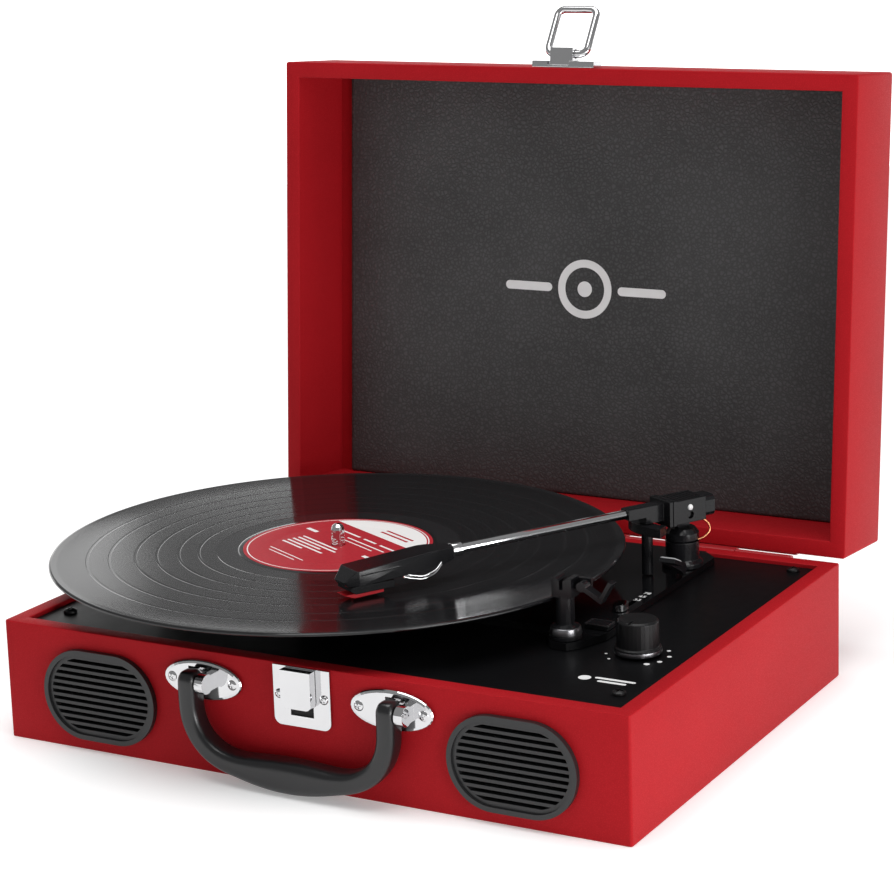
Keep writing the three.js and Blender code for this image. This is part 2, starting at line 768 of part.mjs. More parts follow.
// Hinge: knuckles alternate between the two leaves along one pin
function hingeLeaf(parity, z0, z1) {
  const step = (HINGE.half * 2) / HINGE.pieces;
  const leafY = [back + GAP, back + GAP + 1.1];
  const pieces = [box(-HINGE.half, HINGE.half, ...leafY, z0, z1)];
  for (let i = parity; i < HINGE.pieces; i += 2) {
    const x0 = -HINGE.half + i * step + 0.25;
    const x1 = x0 + step - 0.5;
    pieces.push(rod([x0, HINGE.y, HINGE.z], [x1, HINGE.y, HINGE.z], HINGE.r, 20));
    pieces.push(box(x0, x1, ...leafY, Math.min(z0 + 1, HINGE.z), Math.max(z1 - 1, HINGE.z)));
  }
  const bore = rod([-150, HINGE.y, HINGE.z], [150, HINGE.y, HINGE.z], 1.6, 14);
  return joined(pieces).subtract(bore);
}
add("hinge_base_leaf", hingeLeaf(0, 43, 55.8), RED);
add("hinge_lid_leaf", hingeLeaf(1, 66, 78), RED, opened);
add("hinge_pin", rod([-147.5, HINGE.y, HINGE.z], [147.5, HINGE.y, HINGE.z], 1.3, 14), CHROME);

// Hasp: its bracket on the lid's front wall, and the loop that drops over the latch
const lidFront = front + LID.setback - GAP;
const haspBase = (x0, x1, y) =>
  box(HASP.x + x0, HASP.x + x1, y, lidFront, HASP.z - 5, HASP.z + 5);
const haspBracket = joined([
  haspBase(-19, 19, lidFront - 1.2),
  haspBase(-19, -9.5, lidFront - 3.4),
  haspBase(3.5, 19, lidFront - 3.4),
  box(HASP.x - 8.5, HASP.x + 5.5, HASP.y - 3.6, lidFront, HASP.z - 3.8, HASP.z + 3.8),
]).subtract(rod([HASP.x - 10, HASP.y, HASP.z], [HASP.x + 7, HASP.y, HASP.z], 2.5, 20));
add("hasp_bracket", haspBracket, CHROME, opened);

const loopEnds = [
  [HASP.x - HASP.half, HASP.z],
  [HASP.x + HASP.half, HASP.z],
  [HASP.x + HASP.half, HASP.z - HASP.long],
  [HASP.x - HASP.half, HASP.z - HASP.long],
];
const loopPieces = loopEnds.flatMap(([x, z], i) => {
  const [nx, nz] = loopEnds[(i + 1) % 4];
  const ball = new THREE.SphereGeometry(HASP.rod, 12, 8).translate(x, HASP.y, z);
  return [rod([x, HASP.y, z], [nx, HASP.y, nz], HASP.rod, 12), solid(ball)];
});
const loopAtRest = opened.clone().multiply(aboutX(HASP.y, HASP.z, -HASP.rest));
add("hasp_loop", joined(loopPieces), CHROME, loopAtRest);

export default part;
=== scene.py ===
import math

import bmesh
import bpy
from mathutils import Matrix, Vector


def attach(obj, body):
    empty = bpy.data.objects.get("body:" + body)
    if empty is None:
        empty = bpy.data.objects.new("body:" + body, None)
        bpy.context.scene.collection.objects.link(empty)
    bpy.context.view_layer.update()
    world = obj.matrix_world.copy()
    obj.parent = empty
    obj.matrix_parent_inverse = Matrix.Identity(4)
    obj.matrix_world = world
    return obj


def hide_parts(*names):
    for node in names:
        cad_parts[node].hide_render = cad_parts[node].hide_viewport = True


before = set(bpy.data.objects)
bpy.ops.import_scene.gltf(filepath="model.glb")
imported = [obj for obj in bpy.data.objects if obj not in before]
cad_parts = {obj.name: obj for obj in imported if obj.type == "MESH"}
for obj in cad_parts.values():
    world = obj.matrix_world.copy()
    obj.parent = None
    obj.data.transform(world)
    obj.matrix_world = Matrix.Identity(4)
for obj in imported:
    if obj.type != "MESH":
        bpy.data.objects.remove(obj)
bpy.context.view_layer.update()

# The same sizes and places as the CAD, in millimetres and degrees
MM = 0.001
CASE_W, CASE_D = 353, 261
FRONT, BACK = -130.5, 130.5
HINGE_Y, HINGE_Z, LID_OPEN = 133.9, 59.5, 94.3
LID_SETBACK = 3.5
DISC_X, DISC_Y, DISC_R, DISC_TOP = -49.3, -9.7, 150.8, 84.7
LABEL_TOP = 84.95
ARM_X, ARM_Y, ARM_TURN = 104.3, 88, 241.29
REST_X, REST_Y = 102.5, -46.5
STOP_X, STOP_Y = 111, -26
CUE_X, CUE_Y, CUE_Z, CUE_TURN = 112.5, 68, 69.5, -24
KNOB_X, KNOB_Y = 140.5, -45
DECK_TOP, PLATE_TOP = 60.7, 64.7
GRILLE_X, GRILLE_Z = 117, 30
JACK_X, JACK_Z = -105, 30
BRACKET_X, BRACKET_Z = 53.5, 48
HANDLE_Y = -139.3
LATCH_X = 3.5
HASP_X, HASP_Y, HASP_Z, HASP_LONG, HASP_REST = 3, -134.5, 71, 28, 120.3


def about_x(y, z, degrees):
    """A turn about the line along X through (y, z)."""
    to_line = Matrix.Translation((0, y * MM, z * MM))
    return to_line @ Matrix.Rotation(math.radians(degrees), 4, "X") @ to_line.inverted()


OPENED = about_x(HINGE_Y, HINGE_Z, -LID_OPEN)
ALONG_ARM = Matrix.Translation((ARM_X * MM, ARM_Y * MM, 0)) @ Matrix.Rotation(
    math.radians(ARM_TURN), 4, "Z"
)


# ---------------------------------------------------------------- materials
def new_material(name):
    material = bpy.data.materials.new(name)
    material.use_nodes = True
    tree = material.node_tree
    tree.nodes.clear()
    out = tree.nodes.new("ShaderNodeOutputMaterial")
    shader = tree.nodes.new("ShaderNodeBsdfPrincipled")
    tree.links.new(shader.outputs[0], out.inputs[0])
    return material, tree, shader


def coordinates(tree):
    coord = tree.nodes.new("ShaderNodeTexCoord")
    mapping = tree.nodes.new("ShaderNodeMapping")
    tree.links.new(coord.outputs["Object"], mapping.inputs["Vector"])
    return mapping.outputs["Vector"]


def noise(tree, place, scale):
    made = tree.nodes.new("ShaderNodeTexNoise")
    made.inputs["Scale"].default_value = scale
    made.inputs["Detail"].default_value = 3.0
    made.inputs["Roughness"].default_value = 0.55
    tree.links.new(place, made.inputs["Vector"])
    return made.outputs["Fac"]


def ramp(tree, value, low, high, colour_low, colour_high):
    made = tree.nodes.new("ShaderNodeValToRGB")
    made.color_ramp.elements[0].position = low
    made.color_ramp.elements[1].position = high
    made.color_ramp.elements[0].color = (*colour_low, 1)
    made.color_ramp.elements[1].color = (*colour_high, 1)
    tree.links.new(value, made.inputs["Fac"])
    return made.outputs["Color"]


def spread(tree, value, low, high):
    made = tree.nodes.new("ShaderNodeMapRange")
    made.inputs["To Min"].default_value = low
    made.inputs["To Max"].default_value = high
    tree.links.new(value, made.inputs["Value"])
    return made.outputs["Result"]


def maths(tree, operation, *values):
    made = tree.nodes.new("ShaderNodeMath")
    made.operation = operation
    for i, value in enumerate(values):
        if isinstance(value, (int, float)):
            made.inputs[i].default_value = value
        else:
            tree.links.new(value, made.inputs[i])
    return made.outputs[0]


def bump(tree, shader, height, strength, distance):
    made = tree.nodes.new("ShaderNodeBump")
    made.inputs["Strength"].default_value = strength
    made.inputs["Distance"].default_value = distance
    tree.links.new(height, made.inputs["Height"])
    tree.links.new(made.outputs["Normal"], shader.inputs["Normal"])


def plain(name, colour, rough, metal=0.0, grain=900.0, vary=0.06, depth=0.00003, level=0.5):
    """Moulded, painted or plated: small changes of roughness and a faint uneven surface."""
    material, tree, shader = new_material(name)
    place = coordinates(tree)
    low = tuple(c * (1 - vary) for c in colour)
    high = tuple(min(c * (1 + vary), 1) for c in colour)
    tree.links.new(ramp(tree, noise(tree, place, 60), 0.3, 0.7, low, high), shader.inputs["Base Color"])
    tree.links.new(
        spread(tree, noise(tree, place, 140), rough * 0.85, rough * 1.15), shader.inputs["Roughness"]
    )
    bump(tree, shader, noise(tree, place, grain), 0.35, depth)
    shader.inputs["Metallic"].default_value = metal
    shader.inputs["Specular IOR Level"].default_value = level
    return material


def leather(name, low, high, rough, cell, depth, level):
    """Grained leatherette: pebbles of one size over a finer grain, with painted shade that darkens the colour in
    the creases between them.
    """
    material, tree, shader = new_material(name)
    place = coordinates(tree)
    warp = tree.nodes.new("ShaderNodeVectorMath")
    warp.operation = "MULTIPLY_ADD"
    drift = tree.nodes.new("ShaderNodeTexNoise")
    drift.inputs["Scale"].default_value = cell * 0.6
    tree.links.new(place, drift.inputs["Vector"])
    tree.links.new(drift.outputs["Color"], warp.inputs[0])
    warp.inputs[1].default_value = (1.2 / cell,) * 3
    tree.links.new(place, warp.inputs[2])
    cells = tree.nodes.new("ShaderNodeTexVoronoi")
    cells.feature = "DISTANCE_TO_EDGE"
    cells.inputs["Scale"].default_value = cell
    tree.links.new(warp.outputs[0], cells.inputs["Vector"])
    pebble = maths(tree, "MINIMUM", maths(tree, "MULTIPLY", cells.outputs["Distance"], 3.0), 1.0)
    grain = maths(tree, "MULTIPLY", noise(tree, place, 2600), 0.3)
    height = maths(tree, "ADD", pebble, grain)
    bump(tree, shader, height, 0.7, depth)
    broad = maths(tree, "MULTIPLY", noise(tree, place, 14), 0.6)
    # Painted shade: the colour is darker in the creases between the pebbles, where the pebble height is low; the
    # broad noise adds a random tone
    tone_with_painted_light = maths(tree, "ADD", maths(tree, "MULTIPLY", pebble, 0.4), broad)
    tree.links.new(ramp(tree, tone_with_painted_light, 0.25, 0.75, low, high), shader.inputs["Base Color"])
    tree.links.new(spread(tree, pebble, rough * 1.15, rough * 0.9), shader.inputs["Roughness"])
    shader.inputs["Specular IOR Level"].default_value = level
    return material


# Both leathers carry painted shade, darker in the creases between the pebbles
RED = leather("red_leatherette", (0.33, 0.007, 0.011), (0.40, 0.010, 0.015), 0.5, 950, 0.00003, 0.08)
LINER = leather("black_leather", (0.027, 0.027, 0.0275), (0.062, 0.062, 0.063), 0.46, 420, 0.0002, 0.5)
DECK = plain("deck_black", (0.004, 0.004, 0.0045), 0.34, grain=2400, depth=0.00002, level=0.08)
GLOSS = plain("gloss_black", (0.004, 0.004, 0.0045), 0.1, grain=500, depth=0.00001, level=0.3)
PLASTIC = plain("black_plastic", (0.007, 0.007, 0.008), 0.2, grain=2200, depth=0.00002, level=0.3)
SATIN = plain("dark_grey_plastic", (0.014, 0.014, 0.015), 0.38, grain=2600, depth=0.00004, level=0.5)
GRIP = plain("handle_plastic", (0.007, 0.007, 0.008), 0.3, grain=1800, depth=0.00003, level=0.55)
KNOB_BLACK = plain("knob_black", (0.005, 0.005, 0.0055), 0.36, grain=2400, depth=0.00003, level=0.22)
LIGHT_PLASTIC = plain("light_grey_plastic", (0.38, 0.38, 0.39), 0.35, grain=1800)
RUBBER = plain("rubber", (0.012, 0.012, 0.012), 0.7, grain=1600, depth=0.00006)
CHROME = plain("chrome", (0.66, 0.66, 0.67), 0.06, metal=1.0, grain=300, vary=0.02, depth=0.000004)
BRASS = plain("brass", (0.70, 0.48, 0.20), 0.3, metal=1.0)
COPPER = plain("copper_lead", (0.75, 0.33, 0.16), 0.3, metal=1.0)
LIGHT_METAL = plain("light_metal", (0.62, 0.62, 0.64), 0.28, metal=1.0)
GUNMETAL = plain("gunmetal", (0.2, 0.2, 0.21), 0.3, metal=1.0)
CONE = plain("speaker_cone", (0.02, 0.02, 0.021), 0.8, grain=1200, depth=0.0001)
BOARD = plain("circuit_board", (0.02, 0.16, 0.07), 0.5)
INK = plain("white_print", (0.75, 0.75, 0.75), 0.55, grain=3000, vary=0.03)
STYLUS = plain("stylus_red", (0.5, 0.012, 0.02), 0.25)
HINGE_PAINT = plain("hinge_red", (0.36, 0.015, 0.02), 0.4)
DARK = plain("dark_board", (0.01, 0.01, 0.01), 0.8)
FELT = plain("felt", (0.016, 0.016, 0.018), 0.95, grain=5000, depth=0.0002, vary=0.2)


def from_disc_centre(tree, place):
    """Distances in X and Y from the record's axis, in metres."""
    split = tree.nodes.new("ShaderNodeSeparateXYZ")
    tree.links.new(place, split.inputs[0])
    dx = maths(tree, "SUBTRACT", split.outputs["X"], DISC_X * MM)
    dy = maths(tree, "SUBTRACT", split.outputs["Y"], DISC_Y * MM)
    return dx, dy


def distance(tree, a, b):
    squares = maths(tree, "ADD", maths(tree, "MULTIPLY", a, a), maths(tree, "MULTIPLY", b, b))
    return maths(tree, "SQRT", squares)


def noise_along(tree, value, scale):
    made = tree.nodes.new("ShaderNodeTexNoise")
    made.noise_dimensions = "1D"
    made.inputs["Scale"].default_value = scale
    tree.links.new(value, made.inputs["W"])
    return made.outputs["Fac"]


# Smooth bands on the record: (radius, half width)
TRACK_GAPS = [
    (148.5, 2.0), (131.0, 0.55), (119.5, 0.5), (106.0, 0.55), (95.0, 0.5), (83.5, 0.55), (73.0, 0.5), (58.0, 6.0),
]
GROOVE_PITCH = 0.7


def vinyl_material():
    """Grooved vinyl with smooth bands between the tracks, brushed outwards from the centre; painted sheen makes
    the base colour lighter on the smooth bands and along a noise over the grooved part.
    """
    material, tree, shader = new_material("vinyl")
    dx, dy = from_disc_centre(tree, coordinates(tree))
    radius = distance(tree, dx, dy)
    groove = maths(tree, "SINE", maths(tree, "MULTIPLY", radius, 2 * math.pi / (GROOVE_PITCH * MM)))
    smooth = None
    for at, half in TRACK_GAPS:
        away = maths(tree, "ABSOLUTE", maths(tree, "SUBTRACT", radius, at * MM))
        inside = maths(tree, "LESS_THAN", away, half * MM)
        smooth = inside if smooth is None else maths(tree, "MAXIMUM", smooth, inside)
    grooved = maths(tree, "SUBTRACT", 1.0, smooth)
    # Painted sheen: the base colour is lighter on the smooth bands and varies along the radius over the grooves,
    # where the real record only reflects light differently
    loud_painted_sheen = maths(tree, "MULTIPLY", noise_along(tree, radius, 900), grooved)
    bump(tree, shader, maths(tree, "MULTIPLY", groove, grooved), 0.08, 0.00003)
    tone_with_painted_light = maths(tree, "ADD", loud_painted_sheen, smooth)
    colour = ramp(tree, tone_with_painted_light, 0.1, 1.0, (0.003, 0.003, 0.0035), (0.013, 0.013, 0.014))
    tree.links.new(colour, shader.inputs["Base Color"])
    tree.links.new(spread(tree, grooved, 0.1, 0.14), shader.inputs["Roughness"])
    tangent = tree.nodes.new("ShaderNodeCombineXYZ")
    tree.links.new(dx, tangent.inputs["X"])
    tree.links.new(dy, tangent.inputs["Y"])
    unit = tree.nodes.new("ShaderNodeVectorMath")
    unit.operation = "NORMALIZE"
    tree.links.new(tangent.outputs[0], unit.inputs[0])
    tree.links.new(unit.outputs[0], shader.inputs["Tangent"])
    shader.inputs["Anisotropic"].default_value = 0.6
    shader.inputs["Specular IOR Level"].default_value = 0.4
    return material


VINYL = vinyl_material()


# ---------------------------------------------------------------- meshes
def finish_mesh(name, vertices, faces, material, matrix=None, angle=32):
    """An object from points in millimetres, faces turned outward, smooth except at real edges."""
    mesh = bpy.data.meshes.new(name)
    mesh.from_pydata([Vector(v) * MM for v in vertices], [], faces)
    made = bpy.data.objects.new(name, mesh)
    bpy.context.collection.objects.link(made)
    work = bmesh.new()
    work.from_mesh(mesh)
    bmesh.ops.remove_doubles(work, verts=work.verts, dist=1e-7)
    bmesh.ops.recalc_face_normals(work, faces=work.faces)
    work.to_mesh(mesh)
    work.free()
    if matrix is not None:
        mesh.transform(matrix)
    mesh.materials.append(material)
    shade(mesh, angle)
    return made


def shade(mesh, angle=32):
    mesh.polygons.foreach_set("use_smooth", [True] * len(mesh.polygons))
    mesh.set_sharp_from_angle(angle=math.radians(angle))


def rect_ring(w, h, r, steps=6, cx=0.0, cy=0.0):
    r = max(r, 0.05)
    points = []
    for sx, sy, start in ((1, -1, -90), (1, 1, 0), (-1, 1, 90), (-1, -1, 180)):
        for i in range(steps + 1):
            a = math.radians(start + 90 * i / steps)
            points.append((cx + sx * (w / 2 - r) + r * math.cos(a), cy + sy * (h / 2 - r) + r * math.sin(a)))
    return points


def ellipse_ring(w, h, steps=64, cx=0.0, cy=0.0):
    ring = []
    for i in range(steps):
        a = 2 * math.pi * i / steps
        ring.append((cx + w / 2 * math.cos(a), cy + h / 2 * math.sin(a)))
    return ring


def loft(rings, closed=False, cap_first=False, cap_last=False):
    """Faces between rings of equally many points; returns (vertices, faces)."""
    count = len(rings[0])
    vertices = [p for ring in rings for p in ring]
    faces = []
    last = len(rings) if closed else len(rings) - 1
    for i in range(last):
        a, b = i * count, ((i + 1) % len(rings)) * count
        for k in range(count):
            n = (k + 1) % count
            faces.append((a + k, a + n, b + n, b + k))
    if cap_first:
        faces.append(tuple(reversed(range(count))))
    if cap_last:
        faces.append(tuple(range((len(rings) - 1) * count, len(rings) * count)))
    return vertices, faces


def box_rings(profile, w, h, r, steps=6, cx=0.0, cy=0.0):
    """Rings of a rounded rectangle in XY: profile holds (inset, z)."""
    rings = []
    for inset, z in profile:
        ring = rect_ring(w - 2 * inset, h - 2 * inset, r - inset, steps, cx, cy)
        rings.append([(x, y, z) for x, y in ring])
    return rings


def turned(name, material, x, y, profile, steps, matrix=None, angle=32):
    """A body of revolution about a vertical axis from (radius, z) points."""
    rings = []
    for r, z in profile:
        ring = []
        for i in range(steps):
            a = 2 * math.pi * i / steps
            ring.append((x + r * math.cos(a), y + r * math.sin(a), z))
        rings.append(ring)
    vertices, faces = loft(rings)
    return finish_mesh(name, vertices, faces, material, matrix, angle)


def prism(name, material, outline, low, high, matrix=None):
    """A flat-ended solid: an outline in XY from one height to another."""
    rings = [[(x, y, z) for x, y in outline] for z in (low, high)]
    vertices, faces = loft(rings, cap_first=True, cap_last=True)
    return finish_mesh(name, vertices, faces, material, matrix)


def frame_ring(name, material, outer, inner, low, high, matrix=None):
    """A flat-ended frame between two outlines of equally many points."""
    steps = ((outer, low), (outer, high), (inner, high), (inner, low))
    rings = [[(x, y, z) for x, y in outline] for outline, z in steps]
    vertices, faces = loft(rings, closed=True)
    return finish_mesh(name, vertices, faces, material, matrix)


def facing_front(x, y, z):
    """Takes a shape made in XY with +Z outward onto a face that looks to -Y, at that place."""
    return Matrix.Translation((x * MM, y * MM, z * MM)) @ Matrix.Rotation(math.radians(90), 4, "X")


def ride(piece, body, slot, *nodes):
    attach(piece, body)
    if nodes:
        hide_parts(*nodes)
    return piece


def cut(piece, cutter):
    """Takes the cutter out of the piece for good."""
    modifier = piece.modifiers.new("cut", "BOOLEAN")
    modifier.object = cutter
    modifier.solver = "EXACT"
    bpy.context.view_layer.update()
    graph = bpy.context.evaluated_depsgraph_get()
    result = bpy.data.meshes.new_from_object(piece.evaluated_get(graph))
    piece.modifiers.clear()
    old = piece.data
    piece.data = result
    bpy.data.meshes.remove(old)
    bpy.data.objects.remove(cutter)
    shade(piece.data)


# ---------------------------------------------------------------- case and lid
CASE_PROFILE = [
    (0.8, 0), (0.2, 0.2), (0, 0.8), (0, 20), (0, 42), (0, 61.9), (0.1, 62.35), (0.35, 62.6), (0.8, 62.7),
    (8.2, 62.7), (8.65, 62.6), (8.9, 62.35), (9, 61.9), (9, 30), (9, 1), (8, 0),
]
vertices, faces = loft(box_rings(CASE_PROFILE, CASE_W, CASE_D, 1.5), closed=True)
case_skin = finish_mesh("case_skin", vertices, faces, RED)
for side in (-1, 1):
    place = facing_front(side * GRILLE_X, FRONT, GRILLE_Z)
    cut(case_skin, prism("cutter", DARK, rect_ring(63, 41, 20.4, 10), -14, 6, place))
rings = [[(JACK_X + x, BACK + d, JACK_Z + z) for x, z in rect_ring(60, 18, 0.5, 2)] for d in (-14, 4)]
vertices, faces = loft(rings, cap_first=True, cap_last=True)
cut(case_skin, finish_mesh("cutter", vertices, faces, DARK))
ride(case_skin, "base", "red_case", "front_panel", "back_panel", "left_panel", "right_panel")

LID_PROFILE = [
    (9, 111.2), (9, 90), (9, 64.1), (8.9, 63.65), (8.65, 63.4), (8.2, 63.3), (0.8, 63.3), (0.35, 63.4),
    (0.1, 63.65), (0, 64.1), (0, 90), (0, 114.5), (0.1, 114.95), (0.35, 115.2), (0.8, 115.3),
]
lid_middle = LID_SETBACK / 2
rings = box_rings(LID_PROFILE, CASE_W, CASE_D - LID_SETBACK, 1.5, cy=lid_middle)
vertices, faces = loft(rings, cap_first=True, cap_last=True)
lid_skin = finish_mesh("lid_skin", vertices, faces, RED, OPENED)
ride(lid_skin, "lid", "red_case",
     "lid_front_panel", "lid_back_panel", "lid_left_panel", "lid_right_panel", "lid_board")

LINER_PROFILE = [(0, 110.9), (0, 109.0), (0.2, 108.5), (0.8, 108.1), (2, 108.0), (30, 107.9), (90, 107.85)]
rings = box_rings(LINER_PROFILE, 318.4, 242.4 - LID_SETBACK, 1.5, 4, cy=lid_middle)
vertices, faces = loft(rings, cap_first=True, cap_last=True)
liner = finish_mesh("liner_pad", vertices, faces, LINER, OPENED)
ride(liner, "lid", "liner_black", "lid_liner")


# ---------------------------------------------------------------- CAD nodes that stay
NODE_MATERIALS = {
    DARK: ["bottom_panel"],
    RUBBER: ["foot_1", "foot_2", "foot_3", "foot_4", "drive_belt"],
    SATIN: ["speaker_grille_left", "speaker_grille_right"],
    CONE: ["speaker_left", "speaker_right"],
    BOARD: ["circuit_board"],
    PLASTIC: [
        "rear_jack_plate", "platter", "tonearm_base", "tonearm_turret", "headshell", "counterweight",
        "arm_rest", "arm_rest_clip", "cue_platform", "auto_stop_switch", "volume_pot", "handle",
        "cartridge", "tonearm_block", "cue_lever",
    ],
    KNOB_BLACK: ["volume_knob", "deck_screw_1", "deck_screw_2", "deck_screw_3", "deck_screw_4"],
    DECK: ["deck_plate"],
    GLOSS: ["mechanism_plate"],
    CHROME: [
        "spindle", "tonearm_tube", "speed_selector", "handle_bracket_left", "handle_bracket_right",
        "latch_plate", "latch_slide", "hasp_bracket", "hasp_loop", "hinge_pin",
    ],
    LIGHT_METAL: ["motor"],
    BRASS: ["motor_pulley"],
    FELT: ["slip_mat"],
    VINYL: ["record"],
    STYLUS: ["stylus"],
    LINER: ["lid_liner"],
    HINGE_PAINT: ["hinge_base_leaf", "hinge_lid_leaf"],
    RED: ["front_panel", "back_panel", "left_panel", "right_panel",
          "lid_front_panel", "lid_back_panel", "lid_left_panel", "lid_right_panel", "lid_board"],
}
for material, names in NODE_MATERIALS.items():
    for name in names:
        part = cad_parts[name]
        part.data.materials.clear()
        part.data.materials.append(material)
        weld = part.modifiers.new("weld", "WELD")
        weld.merge_threshold = 1e-6
        bevel = part.modifiers.new("bevel", "BEVEL")
        bevel.width = 0.35 * MM
        bevel.segments = 2
        bevel.angle_limit = math.radians(38)
        bevel.harden_normals = True

# ---------------------------------------------------------------- record
disc_profile = [
    (3.65, 83.1), (150.2, 83.1), (150.65, 83.35), (DISC_R, 83.8), (150.75, 84.3), (150.4, DISC_TOP),
    (149.6, 84.86), (148.9, 84.85), (147.2, DISC_TOP),
]
for at, half in TRACK_GAPS[1:-1]:
    disc_profile += [
        (at + half + 0.3, DISC_TOP), (at + half, 84.64), (at - half, 84.64), (at - half - 0.3, DISC_TOP),
    ]
disc_profile += [
    (64, DISC_TOP), (63.6, 84.62), (52.6, 84.62), (52, 84.75), (51, 84.84), (3.65, 84.84), (3.65, 83.1),
]
record = turned("record_disc", VINYL, DISC_X, DISC_Y, disc_profile, 256, angle=6)
ride(record, "platter_set", "vinyl", "record")


LABEL_TURN = -27.6
# Plain bars for the label's print: (v from, v to, u from, u to)
LABEL_BARS = [
    (15.2, 16.6, -22, -4), (15.2, 16.6, 0, 12), (15.2, 16.6, 16, 30), (10.2, 11.2, -8, 28),
    (6.6, 7.4, -8, 22), (2.5, 5.0, -38, -28), (-2.5, 0.0, 27, 37), (-6.5, -5.2, -26, 8),
    (-9.7, -8.4, -26, 12), (-12.9, -11.6, -26, 2), (-16.1, -14.8, -26, 9), (-19.3, -18.0, -26, -6),
    (-30, -29.3, -20, 14), (-33, -32.3, -16, 10),
]


def label_material():
    """Red paper label: a white segment at one side, a thin white ring and plain bars for its print."""
    material, tree, shader = new_material("label_paper")
    place = coordinates(tree)
    dx, dy = from_disc_centre(tree, place)
    c, s = math.cos(math.radians(LABEL_TURN)), math.sin(math.radians(LABEL_TURN))
    u = maths(tree, "ADD", maths(tree, "MULTIPLY", dx, c), maths(tree, "MULTIPLY", dy, s))
    v = maths(tree, "SUBTRACT", maths(tree, "MULTIPLY", dy, c), maths(tree, "MULTIPLY", dx, s))
    radius = distance(tree, u, v)

    def between(value, low, high):
        above = maths(tree, "GREATER_THAN", value, low * MM)
        return maths(tree, "MULTIPLY", above, maths(tree, "LESS_THAN", value, high * MM))

    inside = maths(tree, "LESS_THAN", radius, 46.6 * MM)
    segment = maths(tree, "MULTIPLY", maths(tree, "GREATER_THAN", v, 24.1 * MM), inside)
    ring = between(radius, 47.4, 48.0)
    white = maths(tree, "MAXIMUM", segment, ring)
    for v0, v1, u0, u1 in LABEL_BARS:
        bar = maths(tree, "MULTIPLY", between(v, v0, v1), between(u, u0, u1))
        white = maths(tree, "MAXIMUM", white, bar)
    dark = maths(tree, "ADD", between(v, 29.6, 31.2), between(v, 33.2, 34.8))
    dark = maths(tree, "MULTIPLY", dark, between(u, -6, 20))
    mix = tree.nodes.new("ShaderNodeMix")
    mix.data_type = "RGBA"
    tree.links.new(maths(tree, "SUBTRACT", white, dark), mix.inputs["Factor"])
    fibres = ramp(tree, noise(tree, place, 700), 0.3, 0.7, (0.36, 0.018, 0.028), (0.42, 0.024, 0.034))
    tree.links.new(fibres, mix.inputs[6])
    mix.inputs[7].default_value = (0.78, 0.77, 0.76, 1)
    tree.links.new(mix.outputs[2], shader.inputs["Base Color"])
    shader.inputs["Roughness"].default_value = 0.5
    shader.inputs["Specular IOR Level"].default_value = 0.12
    bump(tree, shader, noise(tree, place, 2500), 0.2, 0.00003)
    return material


label_profile = [
    (3.7, 84.86), (49.6, 84.86), (49.9, 84.89), (49.9, 84.93), (49.6, LABEL_TOP), (36, LABEL_TOP), (35.6, 84.92),
    (34.4, 84.92), (34, LABEL_TOP), (3.7, LABEL_TOP), (3.7, 84.86),
]
label = turned("record_label", label_material(), DISC_X, DISC_Y, label_profile, 128)
ride(label, "platter_set", "vinyl")


# ---------------------------------------------------------------- handle
def catmull_rom(a, b, c, d, t):
    square, cube = (2 * a - 5 * b + 4 * c - d) * t * t, (3 * b - a - 3 * c + d) * t ** 3
    return 0.5 * (2 * b + (c - a) * t + square + cube)


def smooth_stations(stations, per):
    """More stations on a curve through the given ones."""
    made = []
    last = len(stations) - 1
    for i in range(last):
        near = [stations[max(i - 1, 0)], stations[i], stations[i + 1], stations[min(i + 2, last)]]
        for step in range(per):
            made.append([catmull_rom(*values, step / per) for values in zip(*near)])
    made.append(list(stations[-1]))
    return made


# Left half of the handle's centre line: (x, z, half width, half depth)
HALF_HANDLE = [
    (-56, 55.1, 2.2, 3.0), (-56, 54.4, 3.6, 4.4), (-56, 52, 4.7, 5.6), (-56, 49, 5, 6),
    (-56, 42, 5, 6), (-55.5, 34, 5, 6), (-53.4, 27, 5, 6), (-49.6, 21, 5, 6.1),
    (-43.8, 16, 5.2, 6.3), (-36.5, 12.6, 5.4, 6.5), (-28, 10.9, 5.9, 6.7), (-18, 10, 7.2, 7), (-8, 9.6, 8.2, 7),
]
other_half = [(-x, z, w, d) for x, z, w, d in reversed(HALF_HANDLE)]
stations = smooth_stations(HALF_HANDLE + [(0, 9.5, 8.4, 7)] + other_half, 4)
rings = []
AROUND, SQUARENESS = 40, 0.62
for i, (x, z, half, deep) in enumerate(stations):
    before, after = stations[max(i - 1, 0)], stations[min(i + 1, len(stations) - 1)]
    tangent = Vector((after[0] - before[0], after[1] - before[1])).normalized()
    ring = []
    for k in range(AROUND):
        a = 2 * math.pi * k / AROUND
        c, s = math.cos(a), math.sin(a)
        across = math.copysign(abs(c) ** SQUARENESS, c) * half
        outward = math.copysign(abs(s) ** SQUARENESS, s) * deep
        ring.append((x - tangent.y * across, HANDLE_Y + outward, z + tangent.x * across))
    rings.append(ring)
vertices, faces = loft(rings, cap_first=True, cap_last=True)
handle = finish_mesh("handle_grip", vertices, faces, GRIP, angle=60)
ride(handle, "carry_handle", "black_plastic", "handle")


# ---------------------------------------------------------------- screws
def screw(name, x, z, y, r, turn):
    """A cross-head screw on a face that looks to the front."""
    profile = [(0, 1.35), (r * 0.45, 1.3), (r * 0.8, 1.0), (r * 0.97, 0.5), (r, 0.0), (0, 0.0)]
    place = facing_front(x, y, z) @ Matrix.Rotation(turn, 4, "Z")
    head = turned(name, CHROME, 0, 0, profile, 32, place)
    for a in (0, math.pi / 2):
        c, s = math.cos(a), math.sin(a)
        slit = [(p * c - q * s, p * s + q * c) for p, q in rect_ring(r * 1.15, r * 0.26, 0.1, 1)]
        cut(head, prism("cutter", DARK, slit, 0.7, 3, place))
    head.data.materials[0] = CHROME
    ride(head, "base", "chrome_metal")


